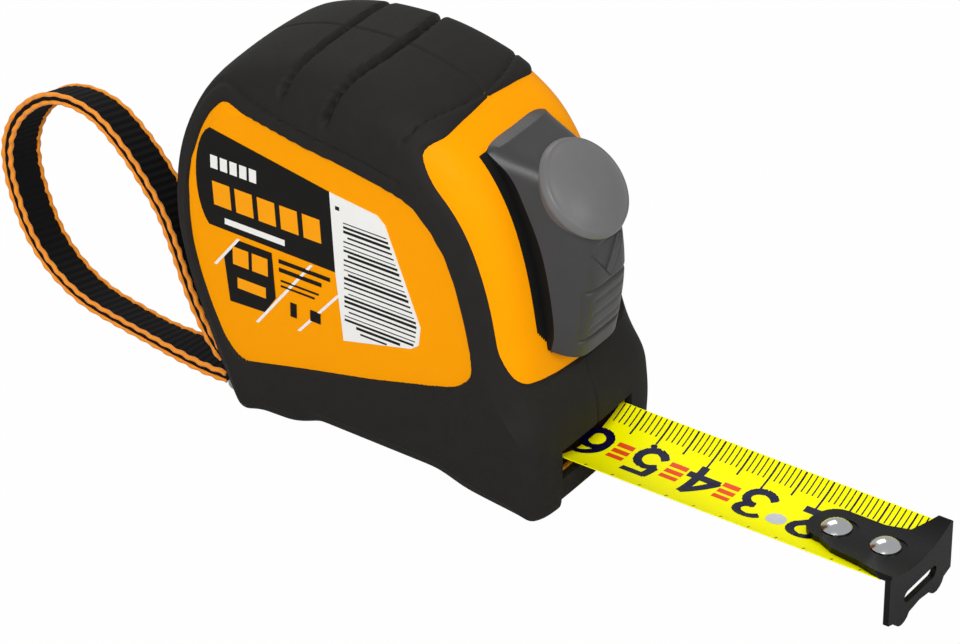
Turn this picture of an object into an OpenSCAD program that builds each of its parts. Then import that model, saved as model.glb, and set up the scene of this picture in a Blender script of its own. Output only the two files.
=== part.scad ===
// Pocket tape measure with a sprung reel, a floating end hook and a thumb lock.
// +X is the way the blade leaves, +Y the user's left, +Z up. The origin is on the base, under the reel's axle.

/* [Case] */
// Width of the case across the grips
body_w = 35; // [32:0.5:42]
// Height from the base to the crown
body_h = 70.5; // [67:0.1:85]
// Front of the nose, measured from the reel's axle
nose_x = 38.5; // [37:0.1:46.5]
// Thickness of the moulded grip skin
grip_t = 1.4; // [1:0.1:1.6]
// Wall of the hard shells
shell_t = 1.8; // [1.4:0.1:2]
// Height of the nose above the base
nose_h = 17.1; // [16:0.1:20]
// Lean of the front face, from the vertical
front_lean = 17; // [15:1:19]

/* [Blade] */
// Width of the blade
blade_w = 19; // [15.8:0.1:19]
// Depth of the blade's curl
blade_sag = 2.2; // [1.6:0.1:2.4]
// Thickness of the coated blade
blade_t = 0.2; // [0.16:0.02:0.24]
// Height of the blade's edges above the base
blade_z = 10.4; // [10.2:0.1:11]
// Length of blade that stands out of the mouth
blade_out = 58.5; // [40:0.5:70]
// Full length of the blade
blade_len = 5000; // [3000:500:5000]

/* [Reel] */
// Height of the reel's axle above the base
reel_z = 37; // [36.5:0.5:38]
// Radius of the drum that the blade is wound on
drum_r = 13.8; // [11.5:0.1:14.2]
// Radius of the reel's flanges
flange_r = 23.2; // [22.6:0.1:23.4]
// Radius of the fixed arbor
arbor_r = 2.5; // [2:0.1:3]
// Gap all round between the arbor and the drum
running_gap = 0.06; // [0.03:0.01:0.09]

/* [Hook] */
// Thickness of the hook's steel
hook_t = 1.0; // [0.8:0.1:1.2]
// Height of the hook's tab below the blade's edges
tab_h = 10.2; // [8:0.1:10.2]
// Free float of the hook on its rivets
hook_float = 1.0; // [0.8:0.1:1.2]

/* [Lock] */
// Width of the lock button
button_w = 16; // [13:0.5:17]
// Travel of the lock button up the front face
lock_travel = 6; // [4:0.5:7]
// Lean of the button's track, from the vertical
track_lean = 14; // [12:0.5:15]

/* [Strap] */
// Width of the wrist strap
strap_w = 8; // [6:0.5:9]
// Thickness of the strap's webbing
strap_t = 2; // [1.4:0.1:2.2]
// Radius of the steel pin that holds the strap
pin_r = 1.0; // [0.8:0.1:1.2]

/* [Hidden] */
$fn = 64;
eps = 0.01;
far = 100;

half_w = body_w / 2;
// Ellipse that the crown and the rear follow: its reach back, middle and height
crown_r = flange_r + 11;
crown_x = -0.3;
crown_z = reel_z - 0.7;
crown_up = body_h - crown_z;
nose_half_w = half_w - 2.5;
// Front face: foot and its upper end
face_foot = [nose_x - 2.8, 23];
face_top = [nose_x - 15.5, crown_z + 0.693 * crown_up];
// Depth of panels set into the grip, and of labels on them
panel_step = 0.5;
label_t = 0.15;
wall_in = grip_t + shell_t;
in_w = body_w - 2 * wall_in;

hook_x = nose_x + blade_out;
blade_low = blade_z - blade_sag - blade_t;
mouth_gap = 0.5;
mouth_back = nose_x - 9;
guide_t = 0.6;
guide_z = blade_low - 0.75 - guide_t;

// Reel, across the case
reel_half = blade_w / 2 + 0.3;
flange_t = 1.0;
coil_gap = 0.15;
boss_gap = 0.3;
pack_t = blade_t * 0.85;
coil_r = sqrt(drum_r * drum_r + blade_len * pack_t / PI);
washer_t = 0.5;

// Screws: thread radius, head, and the ring of bosses outside the reel
screw_r = 1.1;
head_r = 2.1;
head_h = 1.6;
boss_r = 2.4;
boss_ring = (flange_r + crown_r - wall_in) / 2 + 0.2;
screw_at = [
    [crown_x + boss_ring * cos(135), crown_z + boss_ring * sin(135)],
    [crown_x + boss_ring * cos(212), crown_z + boss_ring * sin(212)],
    [crown_x + boss_ring * cos(66), crown_z + boss_ring * sin(66)],
    [nose_x - 18, wall_in + boss_r - 0.4]
];

// Strap: corner notch in the right half, its pin, and the route of the strap's middle line
strap_y = -9;
pin_at = [-22.3, 4.6];
pin_half = 6.2;
notch_gap = 0.4;
notch_x = -20.6;
notch_z = 9.2;
// wall between the notch and the room for the retracted blade
notch_wall = 0.6;
strap_route = [
    [-24.6, -9, 3.4], [-32, -9, 3.4], [-40.5, -9, 3.9], [-48.2, -9, 5.0], [-55.4, -9, 6.6],
    [-61.2, -9, 10.0], [-65.6, -9, 15.0], [-68.4, -9, 21.4], [-69.8, -9, 27.6], [-69.4, -9, 33.0],
    [-67.0, -9, 38.2], [-62.8, -9, 42.4], [-58.6, -9, 44.2], [-54.2, -9, 44.3], [-50.0, -9, 42.8],
    [-45.2, -9, 38.8], [-41.4, -9, 34.4], [-37.9, -9, 29.4], [-35.6, -9, 24.2], [-33.8, -9, 19.5],
    [-31.6, -9, 14.8], [-28.4, -9, 9.6], [-25.4, -9, 6.1]
];

// Hook: plate behind the tab, rivets through slots in it
plate_len = 19;
plate_half_w = 4.3;
// wider shoulder of the plate on its right side
plate_wing = blade_w / 2 - 2.5;
tab_foot = blade_z - tab_h;
rivet_back = [5.4, 14.2];
rivet_r = 1.2;
rivet_head_r = 2.45;
rivet_gap = 0.06;
hook_seat = 0.05;

// Lock
face_up = [-sin(track_lean), cos(track_lean)];
button_gap = 0.5;
stem_half_w = 3.6;
stem_z = face_foot[1] + 10.3;
stem_h = 11.5;
stem_gap = 0.3;
shoe_gap = 0.3;
shoe_top = blade_z + 6.6;

// ---------- outlines ----------

function unit(v) = v / norm(v);
function arc(c, r, a0, a1, n) = [for (i = [0:n]) c + r * [cos(a0 + (a1 - a0) * i / n), sin(a0 + (a1 - a0) * i / n)]];
// Moves every side of a counter-clockwise outline inwards by d
function inset(p, d) = let (n = len(p)) [
    for (i = [0:n-1])
        let (a = unit(p[i] - p[(i + n - 1) % n]), b = unit(p[(i + 1) % n] - p[i]),
             na = [-a[1], a[0]], nb = [-b[1], b[0]])
        p[i] + d * (na + nb) / (1 + na * nb)
];

// Side outline of the case, x and z
function side_outline() = concat(
    [[-19, 0], [nose_x, 0], [nose_x, nose_h], face_foot],
    [face_foot + [-3.6, 18.7], face_top + [4.5, -7.6], face_top],
    [for (p = arc([0, 0], 1, 62, 180, 20)) [crown_x + crown_r * p[0], crown_z + crown_up * p[1]]],
        arc([crown_x, crown_z], crown_r, 187, 200, 2),
    [[-29.8, 17], [-24.6, 5]]
);
// Outline seen from the front, y and z
front_outline = [
    [-half_w + 2.5, 0], [half_w - 2.5, 0], [half_w, 4], [half_w, body_h - 9],
    [half_w - 3.5, body_h - 2.8], [half_w - 8.5, body_h], [-half_w + 8.5, body_h],
    [-half_w + 3.5, body_h - 2.8], [-half_w, body_h - 9], [-half_w, 4]
];
// Outline seen from above, x and y
plan_outline = [
    [-35, -half_w + 6.5], [-32.4, -half_w + 2.2], [-26, -half_w], [22, -half_w], [nose_x + 5, -half_w],
    [nose_x + 5, half_w], [22, half_w], [-26, half_w], [-32.4, half_w - 2.2], [-35, half_w - 6.5]
];
// Crown of the front face in its own frame: y across, and depth from the face
crown_outline = [
    [-half_w - 1, -far], [half_w + 1, -far], [half_w + 1, -10], [half_w - 0.4, -8], [half_w - 3.5, -2.6],
    [half_w - 8, -0.4], [-half_w + 8, -0.4], [-half_w + 3.5, -2.6], [-half_w + 0.4, -8], [-half_w - 1, -10]
];
nose_outline = [
    [4, -half_w + 0.6], [nose_x - 16, -half_w + 0.6], [nose_x, -nose_half_w + 0.4],
    [nose_x, nose_half_w - 0.4], [nose_x - 16, half_w - 0.6], [4, half_w - 0.6]
];

module along_y(pts, y0, y1) {
    translate([0, y1, 0]) rotate([90, 0, 0]) linear_extrude(y1 - y0) polygon(pts);
}
module along_x(pts, x0, x1) {
    translate([x0, 0, 0]) rotate([90, 0, 90]) linear_extrude(x1 - x0) polygon(pts);
}
module rod_y(at, r, y0, y1) {
    translate([at[0], y0, at[1]]) rotate([-90, 0, 0]) cylinder(r = r, h = y1 - y0);
}
module tube_y(at, r_in, r_out, y0, y1) {
    difference() {
        rod_y(at, r_out, y0, y1);
        rod_y(at, r_in, y0 - 1, y1 + 1);
    }
}

// Whole case, every wall moved inwards by d
module case_solid(d) {
    intersection() {
        along_y(inset(side_outline(), d), -far, far);
        along_x(inset(front_outline, d), -far, far);
        translate([0, 0, -far]) linear_extrude(2 * far) polygon(inset(plan_outline, d));
        union() {
            // body behind the crowned front face
            translate([face_foot[0], 0, face_foot[1]])
                rotate([0, -front_lean, 0]) translate([0, 0, -far])
                linear_extrude(2 * far) polygon([for (p = inset(crown_outline, d)) [p[1] + 1.4, p[0]]]);
            // squarer nose below it
            translate([0, 0, -1]) linear_extrude(face_foot[1] + 1 - d) polygon(inset(nose_outline, d));
        }
    }
}

// ---------- openings cut through the case ----------

module mouth_cut() {
    translate([mouth_back - 1, -blade_w / 2 - mouth_gap, guide_z])
        cube([far, blade_w + 2 * mouth_gap, blade_z + 1.6 - guide_z]);
    // channel under the mouth, for the hook's rivets and tab
    translate([nose_x - 12, -10, -1]) cube([far, 20, 3.8]);
}
module button_slot() {
    translate([8, -stem_half_w - stem_gap, stem_z - 1])
        cube([far, 2 * (stem_half_w + stem_gap), stem_h + lock_travel + 2]);
}
module strap_notch() {
    y0 = strap_y - strap_w / 2 - notch_gap;
    translate([-far, y0, -1]) cube([far + notch_x, strap_w + 2 * notch_gap, notch_z + 1]);
}
module screw_holes(r) {
    for (p = screw_at) rod_y(p, r, -far, far);
}

// ---------- case ----------

side_panel_pts = [
    [-21.7, 59.3], [-25.6, 54.2], [-27.7, 47.7], [-28.6, 39], [-27.9, 30.8], [-25.6, 23], [-22.5, 15.6],
    [-20.5, 13], [-18.4, 11.7], [6.9, 17.6], [23.2, 22.2], [26.1, 25.2], [25.7, 29.7], [22.7, 41.5],
    [20.5, 46.2], [17.7, 49.8], [12.1, 53.4], [-5.9, 56.1]
];
front_panel_pts = [[14, -14], [far, -14], [far, 14], [14, 14]];

// Volumes of the windows in the grip
module window_volumes() {
    along_y([for (p = side_panel_pts) [p[0], p[1]]], -far, -half_w + 2.2);
    along_y([for (p = side_panel_pts) [p[0], p[1]]], half_w - 2.2, far);
    intersection() {
        translate([0, 0, face_foot[1] + 0.5]) linear_extrude(38) polygon(front_panel_pts);
        translate([14, -far, 0]) cube([far, 2 * far, far]);
    }
}
module shell_outside() {
    case_solid(grip_t);
    intersection() {
        case_solid(panel_step);
        window_volumes();
    }
}
module cavity() {
    difference() {
        case_solid(wall_in);
        // solid web round the strap's notch
        translate([-far, strap_y - strap_w / 2 - notch_gap - 1.6, -1])
            cube([far + notch_x + notch_wall, strap_w + 2 * notch_gap + 3.2, notch_z + 2.6]);
    }
}
module bosses() {
    intersection() {
        case_solid(grip_t + eps);
        union() {
            for (p = screw_at) rod_y(p, boss_r, -far, far);
            tube_y([0, reel_z], arbor_r, arbor_r + 2.2, reel_half + flange_t + washer_t + boss_gap, far);
            tube_y([0, reel_z], arbor_r, arbor_r + 2.2, -far, -reel_half - flange_t - washer_t - boss_gap);
        }
    }
}
module shell(side) {
    difference() {
        intersection() {
            union() {
                difference() {
                    shell_outside();
                    cavity();
                }
                bosses();
            }
            if (side > 0) translate([-far, 0, -far]) cube([2 * far, far, 3 * far]);
            else translate([-far, -far, -far]) cube([2 * far, far, 3 * far]);
        }
        mouth_cut();
        button_slot();
        if (side < 0) strap_notch();
        if (side < 0) rod_y(pin_at, pin_r, strap_y - pin_half, strap_y + pin_half);
        // bore for the arbor stops short of the outside
        rod_y([0, reel_z], arbor_r, -half_w + grip_t + 0.6, half_w - grip_t - 0.6);
        if (side > 0) {
            screw_holes(screw_r + 0.15);
            for (p = screw_at) rod_y(p, head_r + 0.15, half_w - grip_t - head_h - 1.2, far);
        } else {
            for (p = screw_at) rod_y(p, screw_r, -half_w + wall_in + 1, far);
        }
    }
}
module right_shell() { color("#ff9a00") shell(-1); }
module left_shell() { color("#ff9a00") shell(1); }

module grip(side) {
    difference() {
        intersection() {
            difference() {
                case_solid(0);
                case_solid(grip_t);
            }
            if (side > 0) translate([-far, 0, -far]) cube([2 * far, far, 3 * far]);
            else translate([-far, -far, -far]) cube([2 * far, far, 3 * far]);
        }
        window_volumes();
        mouth_cut();
        if (side < 0) strap_notch();
        if (side < 0) rod_y(pin_at, pin_r, strap_y - pin_half, strap_y + pin_half);
        if (side > 0) for (p = screw_at) rod_y(p, head_r + 0.15, 0, far);
        // three grooves across the crown
        for (a = [62, 88, 118])
            translate([crown_x + crown_r * cos(a), 0, crown_z + crown_up * sin(a)]) rotate([0, 90 - a, 0])
                translate([-0.6, -far, -0.5]) cube([1.2, 2 * far, 5]);
    }
}
module right_grip() { color("#2b2a28") grip(-1); }
module left_grip() { color("#2b2a28") grip(1); }

label_pts = [[-23.8, 53.6], [-25.6, 48], [-25.9, 41], [-25.6, 35.2], [-21.8, 31], [-20.6, 22.4], [1.4, 23.0],
             [14.4, 26.2], [16.3, 28.6], [16.3, 31], [9.7, 47.2], [8.2, 48.5], [-0.8, 49.7]];
module label(y0) { along_y(label_pts, y0, y0 + label_t); }
module right_label() { color("#f4f4f0") label(-half_w + panel_step - label_t); }
module left_label() { color("#f4f4f0") label(half_w - panel_step); }

module case_screws() {
    color("#55565a") for (p = screw_at) difference() {
        union() {
            rod_y(p, screw_r, -half_w + wall_in + 2, half_w - grip_t - 1.4);
            rod_y(p, head_r, half_w - grip_t - head_h - 1.2, half_w - grip_t - 1.2);
        }
        for (a = [0, 90]) translate([p[0], half_w - grip_t - 1.6, p[1]]) rotate([0, a, 0])
            cube([2.6, 1.4, 0.5], center = true);
    }
}

// ---------- strap ----------

module strap_pin() { color("#c9ccd0") rod_y(pin_at, pin_r, strap_y - pin_half, strap_y + pin_half); }

// Webbing swept along its route: a thin box section, turned with the route
strap_sec = [[-strap_w / 2, -strap_t / 2], [strap_w / 2, -strap_t / 2],
             [strap_w / 2, strap_t / 2], [-strap_w / 2, strap_t / 2]];
function route_dir(i) = let (n = len(strap_route)) unit(strap_route[min(i + 1, n - 1)] - strap_route[max(i - 1, 0)]);
function strap_ring(i) = let (t = route_dir(i), up = [-t[2], 0, t[0]])
    [for (s = strap_sec) strap_route[i] + [0, s[0], 0] + s[1] * up];
module wrist_strap() {
    m = len(strap_sec);
    n = len(strap_route);
    color("#1d1d1e") polyhedron(
        points = [for (i = [0:n-1]) each strap_ring(i)],
        faces = concat(
            [[0, 1, 2], [0, 2, 3]],
            [for (i = [0:n-2]) for (j = [0:m-1])
                each [[i * m + j, (i + 1) * m + j, (i + 1) * m + (j + 1) % m],
                      [i * m + j, (i + 1) * m + (j + 1) % m, i * m + (j + 1) % m]]],
            [for (f = [[3, 2, 1], [3, 1, 0]]) [for (j = f) (n - 1) * m + j]]
        )
    );
}

// ---------- mouth ----------

// Steel lip that the blade runs over
module mouth_guide() {
    color("#b8bcc0") difference() {
        translate([mouth_back + 0.4, -blade_w / 2 - 0.3, guide_z]) cube([7, blade_w + 0.6, guide_t]);
        translate([mouth_back + 2, -4, guide_z - 1]) cube([3.4, 8, 4]);
    }
}
// Rubber pad above the blade that the hook's plate stops against
module mouth_bumper() {
    color("#242322") difference() {
        translate([nose_x - 4.6, -blade_w / 2 + 0.2, blade_z + 0.85]) cube([1.9, blade_w - 0.4, 0.7]);
        translate([nose_x - 3.9, -blade_w / 2 - 1, blade_z + 1.25]) cube([0.5, blade_w + 2, 1]);
    }
}

// ---------- reel ----------

module spring_arbor() {
    color("#aeb3b8") difference() {
        rod_y([0, reel_z], arbor_r, -half_w + grip_t + 0.8, half_w - grip_t - 0.8);
        // slot for the spring's inner end
        translate([-0.35, -reel_half + 2, reel_z - far]) cube([0.7, 2 * reel_half - 4, far + 1]);
    }
}
module reel_drum() {
    color("#e8e4d8") {
        tube_y([0, reel_z], drum_r - 1.2, drum_r, -reel_half, reel_half);
        difference() {
            tube_y([0, reel_z], arbor_r + running_gap, flange_r, -reel_half - flange_t, -reel_half);
            for (a = [0:60:300]) translate([0, 0, reel_z]) rotate([0, a, 0])
                rod_y([drum_r + 5, 0], 2.6, -far, far);
        }
        tube_y([0, reel_z], arbor_r + running_gap, arbor_r + 1.6, -reel_half - flange_t, -reel_half + 1.2);
    }
}
module drum_cap() {
    color("#d8d4c8") {
        difference() {
            tube_y([0, reel_z], arbor_r + running_gap, flange_r, reel_half, reel_half + flange_t);
            for (a = [0:60:300]) translate([0, 0, reel_z]) rotate([0, a, 0])
                rod_y([drum_r + 5, 0], 2.6, -far, far);
        }
        tube_y([0, reel_z], drum_r - 2.3, drum_r - 1.2, reel_half - 1.5, reel_half + eps);
    }
}
module reel_washers() {
    y0 = reel_half + flange_t + boss_gap / 2;
    color("#f2efe6") {
        tube_y([0, reel_z], arbor_r + running_gap, arbor_r + 2, y0, y0 + washer_t);
        tube_y([0, reel_z], arbor_r + running_gap, arbor_r + 2, -y0 - washer_t, -y0);
    }
}

// Spiral spring as one thin strip wound on an Archimedean spiral
spring_turns = 11;
spring_r0 = arbor_r + 0.5;
spring_r1 = drum_r - 2.6;
spring_t = 0.2;
function spiral(a, off) = let (r = spring_r0 + (spring_r1 - spring_r0) * a / (360 * spring_turns) + off)
    [r * cos(a), reel_z + r * sin(a)];
module power_spring() {
    steps = spring_turns * 20;
    outer = [for (i = [0:steps]) spiral(i * 18, spring_t)];
    inner = [for (i = [steps:-1:0]) spiral(i * 18, 0)];
    color("#7d8288") along_y(concat(outer, inner), -reel_half + 2, reel_half - 2);
}
module blade_coil() {
    color("#f5e400") tube_y([0, reel_z], drum_r, coil_r, -blade_w / 2, blade_w / 2);
}

// ---------- blade ----------

// Radius of a shallow trough of width w and depth sag
function curl_r(sag, w) = (w * w / 4 + sag * sag) / (2 * sag);
// Strip of thickness t lying on that trough, y and z, cut to width w2
function curl(z0, sag, w, t, w2) = let (r = curl_r(sag, w), a = asin(w2 / 2 / r), c = [0, z0 - sag + r])
    concat(arc(c, r, 270 - a, 270 + a, 20), arc(c, r - t, 270 + a, 270 - a, 20));
// Rise of the blade's trough above its lowest line, at y
function arc_z(y) = let (r = curl_r(blade_sag, blade_w - 0.6)) r - sqrt(r * r - y * y);
module blade_strip(x0, x1) {
    along_x(curl(blade_z - blade_t, blade_sag, blade_w - 0.6, blade_t, blade_w - 0.6), x0, x1);
}
blade_x0 = nose_x - 1.5;
module blade() {
    color("#fff000") difference() {
        blade_strip(blade_x0, hook_x - hook_float - 0.1);
        for (x = rivet_x) translate([x, 0, 0]) cylinder(r = rivet_r, h = far);
    }
}
// Stretch of blade that leaves the coil. It ends behind the brake shoe, above the path of the hook and
// its rivets, so that the blade and the hook slide back under it with room to spare.
lead_gap = 0.3;
module blade_lead() {
    z_coil = reel_z - coil_r - 0.1;
    z_end = plate_z + hook_t + 1.3 + lead_gap + blade_t;
    x_end = face_foot[0] - 6.3 - 2.2;
    n = 10;
    lead = [for (i = [0:n]) let (k = i / n) [k * x_end, z_coil + (z_end - z_coil) * (3 * k * k - 2 * k * k * k)]];
    color("#f5e400") along_y(concat(lead, [for (i = [n:-1:0]) lead[i] - [0, blade_t]]), -blade_w / 2 + 0.3, blade_w / 2 - 0.3);
}

// ---------- hook ----------

rivet_x = [for (b = rivet_back) hook_x - b];
plate_z = blade_z - blade_sag + hook_seat;
module hook_rivets() {
    color("#c4c7ca") for (x = rivet_x) {
        translate([x, 0, blade_low - 0.5]) cylinder(r = rivet_r, h = plate_z + hook_t + 0.1 - blade_low + 0.5);
        translate([x, 0, blade_low - 0.55]) cylinder(r = rivet_r + 0.9, h = 0.5);
        intersection() {
            translate([x, 0, plate_z + hook_t - 2.2]) sphere(r = 3.5);
            translate([x, 0, plate_z + hook_t + 0.05]) cylinder(r = rivet_head_r, h = 2);
        }
    }
}
module end_hook() {
    // the plate lies in the trough, follows its curl and widens to the fold
    z0 = plate_z + blade_sag;
    color("#222326") difference() {
        union() {
            intersection() {
                along_x(curl(z0, blade_sag, blade_w - 0.6, hook_t, blade_w), hook_x - plate_len, hook_x + hook_t);
                linear_extrude(far) polygon(concat(
                    [[hook_x + hook_t, -blade_w / 2], [hook_x + hook_t, blade_w / 2], [hook_x - 1, blade_w / 2],
                     [hook_x - 4, 5.2], [hook_x - 8, plate_half_w]],
                    arc([hook_x - plate_len + plate_half_w, 0], plate_half_w, 90, 270, 12),
                    [[hook_x - 11.5, -(plate_wing - 0.8)], [hook_x - 6, -(plate_wing + 0.3)],
                     [hook_x - 1, -blade_w / 2]]));
            }
            // tab: its top follows the curl, its foot has two lobes
            translate([hook_x, 0, 0]) rotate([90, 0, 90]) linear_extrude(hook_t) polygon(concat(
                [for (i = [-10:10]) let (y = -i * blade_w / 20) [y, plate_z + hook_t / 2 + arc_z(y)]],
                [[-blade_w / 2, tab_foot + 2.2]],
                arc([-5.2, tab_foot + 2.4], 2.4, 200, 330, 6),
                [[0, tab_foot + 1.6]],
                arc([5.2, tab_foot + 2.4], 2.4, 210, 340, 6),
                [[blade_w / 2, tab_foot + 2.2]]));
        }
        for (x = rivet_x) {
            for (dx = [0, hook_float]) translate([x + dx, 0, 0]) cylinder(r = rivet_r + rivet_gap, h = far);
            translate([x, -rivet_r - rivet_gap, 0]) cube([hook_float, 2 * (rivet_r + rivet_gap), far]);
            // flat seat under the head, which the curled plate would touch
            for (dx = [0, hook_float / 2, hook_float]) translate([x + dx, 0, plate_z + hook_t])
                cylinder(r = rivet_head_r + 0.2, h = far);
        }
        // slot for a nail head
        translate([hook_x - 1, 0, blade_z - tab_h / 2 - 0.6]) rotate([0, 90, 0]) {
            for (y = [-3.8, 3.8]) translate([0, y, 0]) cylinder(r = 1.1, h = 4);
            translate([-1.1, -3.8, 0]) cube([2.2, 7.6, 4]);
        }
    }
}

// ---------- lock ----------

// Outline of the button at its middle, x and z
button_pts = [
    face_foot + [-0.7, 4.4], face_foot + [3.4, 3.6], face_foot + [4.6, 9], face_foot + [6.2, 17],
    face_foot + [5.6, 23], face_foot + [3.4, 29], face_foot + [-0.6, 35.4], face_foot + [-6, 37.8],
    face_top + [1.4, 0.6], face_top + [5.6, -7.2], face_foot + [-2.5, 18.9], face_foot + [-1.0, 9]
];
module lock_button() {
    color("#4a4a4a") difference() {
        intersection() {
            along_y(button_pts, -button_w / 2, button_w / 2);
            translate([face_foot[0], 0, face_foot[1]]) rotate([0, -track_lean, 0]) translate([0, 0, -far])
                linear_extrude(2 * far) polygon([[-far, -button_w / 2], [4.2, -button_w / 2], [7.2, -button_w / 4],
                                                 [far, 0], [7.2, button_w / 4], [4.2, button_w / 2], [-far, button_w / 2]]);
        }
        stem();
    }
}
// Stem that passes through the case and snaps into the button
module stem() {
    along_y([[face_foot[0] - 7, stem_z], [face_foot[0] + 0.6, stem_z], [face_foot[0] - 1.6, stem_z + stem_h],
             [face_foot[0] - 10, stem_z + stem_h]], -stem_half_w, stem_half_w);
}
// Tongue behind the front wall, bent back to miss the nose
module lock_slider() {
    color("#3a3a3c") union() {
        stem();
        along_y([
            [face_foot[0] - 6.3, shoe_top], [face_foot[0] - 4.3, shoe_top], [face_foot[0] - 4.3, face_foot[1] + 1],
            [face_foot[0] - 6.1, stem_z - 0.8], [face_foot[0] - 9.5, stem_z + stem_h], [face_foot[0] - 10.9, stem_z + stem_h],
            [face_foot[0] - 7.7, stem_z - 1.3], [face_foot[0] - 6.3, face_foot[1] + 1]
        ], -stem_half_w, stem_half_w);
    }
}
module brake_shoe() {
    color("#6b2f22") along_y([
        [face_foot[0] - 6.3, shoe_top], [face_foot[0] - 6.3, blade_z + shoe_gap], [face_foot[0] - 3.1, blade_z + shoe_gap],
        [face_foot[0] - 4.3, shoe_top]
    ], -stem_half_w, stem_half_w);
}

right_shell();
left_shell();
right_grip();
left_grip();
right_label();
left_label();
case_screws();
strap_pin();
wrist_strap();
mouth_bumper();
mouth_guide();
spring_arbor();
blade_lead();
reel_drum();
drum_cap();
reel_washers();
power_spring();
blade_coil();
blade();
hook_rivets();
end_hook();
lock_button();
lock_slider();
brake_shoe();
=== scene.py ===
# %% [markdown]
# # A pocket tape measure
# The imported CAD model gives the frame: every piece below takes its place from it, in metres.
# Shapes are worked out in millimetres as numpy arrays and turned to metres when a mesh is made.

# %% Load the frame
from math import cos, pi, radians, sin

import bmesh
import bpy
import numpy as np
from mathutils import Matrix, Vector


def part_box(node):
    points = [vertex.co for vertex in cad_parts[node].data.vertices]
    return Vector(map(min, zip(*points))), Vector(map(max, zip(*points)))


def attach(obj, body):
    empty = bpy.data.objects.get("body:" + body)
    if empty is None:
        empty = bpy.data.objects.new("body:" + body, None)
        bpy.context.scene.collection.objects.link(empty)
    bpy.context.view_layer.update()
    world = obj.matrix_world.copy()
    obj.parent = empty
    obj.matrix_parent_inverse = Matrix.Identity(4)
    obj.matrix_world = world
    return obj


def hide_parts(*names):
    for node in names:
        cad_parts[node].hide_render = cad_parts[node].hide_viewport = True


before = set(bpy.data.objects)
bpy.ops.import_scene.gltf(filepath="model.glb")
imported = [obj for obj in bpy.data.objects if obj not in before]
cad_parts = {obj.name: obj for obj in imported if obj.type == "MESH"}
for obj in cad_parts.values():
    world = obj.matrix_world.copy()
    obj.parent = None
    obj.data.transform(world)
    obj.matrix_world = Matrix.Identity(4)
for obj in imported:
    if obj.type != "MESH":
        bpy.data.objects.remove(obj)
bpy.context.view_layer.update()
MM = 0.001


def span(node):
    """Lowest and highest corner of a CAD node, in millimetres."""
    low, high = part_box(node)
    return np.array(low) / MM, np.array(high) / MM


grip_low, grip_high = span("right_grip")
blade_low, blade_high = span("blade")
hook_high = span("end_hook")[1]
HOOK_T = 1.0
HALF_W = -grip_low[1]
TOP_Z = grip_high[2]
NOSE_X = grip_high[0]
REAR_X = grip_low[0]
HOOK_X = hook_high[0] - HOOK_T
BLADE_Z = blade_high[2]
print("case", REAR_X, NOSE_X, HALF_W, TOP_Z, "hook", HOOK_X, "blade edge", BLADE_Z)

# %% [markdown]
# ## Camera and strap come first
# The camera stands well back and looks down on the right front quarter of the tool, so the case
# shows its right side, its front and its crown with little perspective.

# %% Camera
AZIMUTH, ELEVATION, DISTANCE = radians(34.40), radians(33.09), 0.800
target = Vector((0.0160, 0.0, 0.0226))
back = Vector((sin(AZIMUTH) * cos(ELEVATION), -cos(AZIMUTH) * cos(ELEVATION), sin(ELEVATION)))
camera_data = bpy.data.cameras.new("camera")
camera_data.lens = 188.2
camera_data.sensor_width = 36.0
camera = bpy.data.objects.new("camera", camera_data)
camera.location = target + DISTANCE * back
camera.rotation_euler = (-back).to_track_quat("-Z", "Y").to_euler()
bpy.context.collection.objects.link(camera)
bpy.context.scene.camera = camera
bpy.context.scene.view_settings.view_transform = "Standard"

# %% [markdown]
# The wrist strap is flat webbing: it leaves the notch behind the base, makes one open loop and comes
# back to the same steel pin. Its ends stay at the case, so its length is the length of this route.

# %% Route of the strap
strap_route = np.array([
    [-24.6, 3.4], [-32, 3.4], [-40.5, 3.9], [-48.2, 5.0], [-55.4, 6.6], [-61.2, 10.0], [-65.6, 15.0],
    [-68.4, 21.4], [-69.8, 27.6], [-69.4, 33.0], [-67.0, 38.2], [-62.8, 42.4], [-58.6, 44.2],
    [-54.2, 44.3], [-50.0, 42.8], [-45.2, 38.8], [-41.4, 34.4], [-37.9, 29.4], [-35.6, 24.2],
    [-33.8, 19.5], [-31.6, 14.8], [-28.4, 9.6], [-25.4, 6.1],
])
STRAP_Y, STRAP_W, STRAP_T = -9.0, 8.0, 2.0

# %% [markdown]
# ## Colours and one node helper
# Colours are written as sRGB hex values, as a paint chart gives them, and turned to the linear
# values that the shader works in.


# %% Colour and node helpers
def linear(hex_colour):
    """sRGB hex to linear RGBA: c/12.92 below 0.04045, else ((c+0.055)/1.055)^2.4."""
    rgb = [int(hex_colour[i:i + 2], 16) / 255 for i in (1, 3, 5)]
    return (*[c / 12.92 if c <= 0.04045 else ((c + 0.055) / 1.055) ** 2.4 for c in rgb], 1.0)


def node(tree, kind, settings=None, links=None):
    """Adds a node, sets its attributes or sockets, and links its inputs from (node, output) pairs."""
    made = tree.nodes.new(kind)
    for name, value in (settings or {}).items():
        if isinstance(name, str) and hasattr(made, name):
            setattr(made, name, value)
        else:
            made.inputs[name].default_value = value
    for socket, (source, output) in (links or {}).items():
        tree.links.new(source.outputs[output], made.inputs[socket])
    return made


def material(name, base, roughness, metallic=0.0, **more):
    """A Principled material with one base colour. Returns the material, its tree and its shader."""
    made = bpy.data.materials.new(name)
    made.use_nodes = True
    shader = made.node_tree.nodes["Principled BSDF"]
    shader.inputs["Base Color"].default_value = linear(base)
    shader.inputs["Roughness"].default_value = roughness
    shader.inputs["Metallic"].default_value = metallic
    for socket, value in more.items():
        shader.inputs[socket.replace("_", " ")].default_value = value
    return made, made.node_tree, shader


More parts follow.
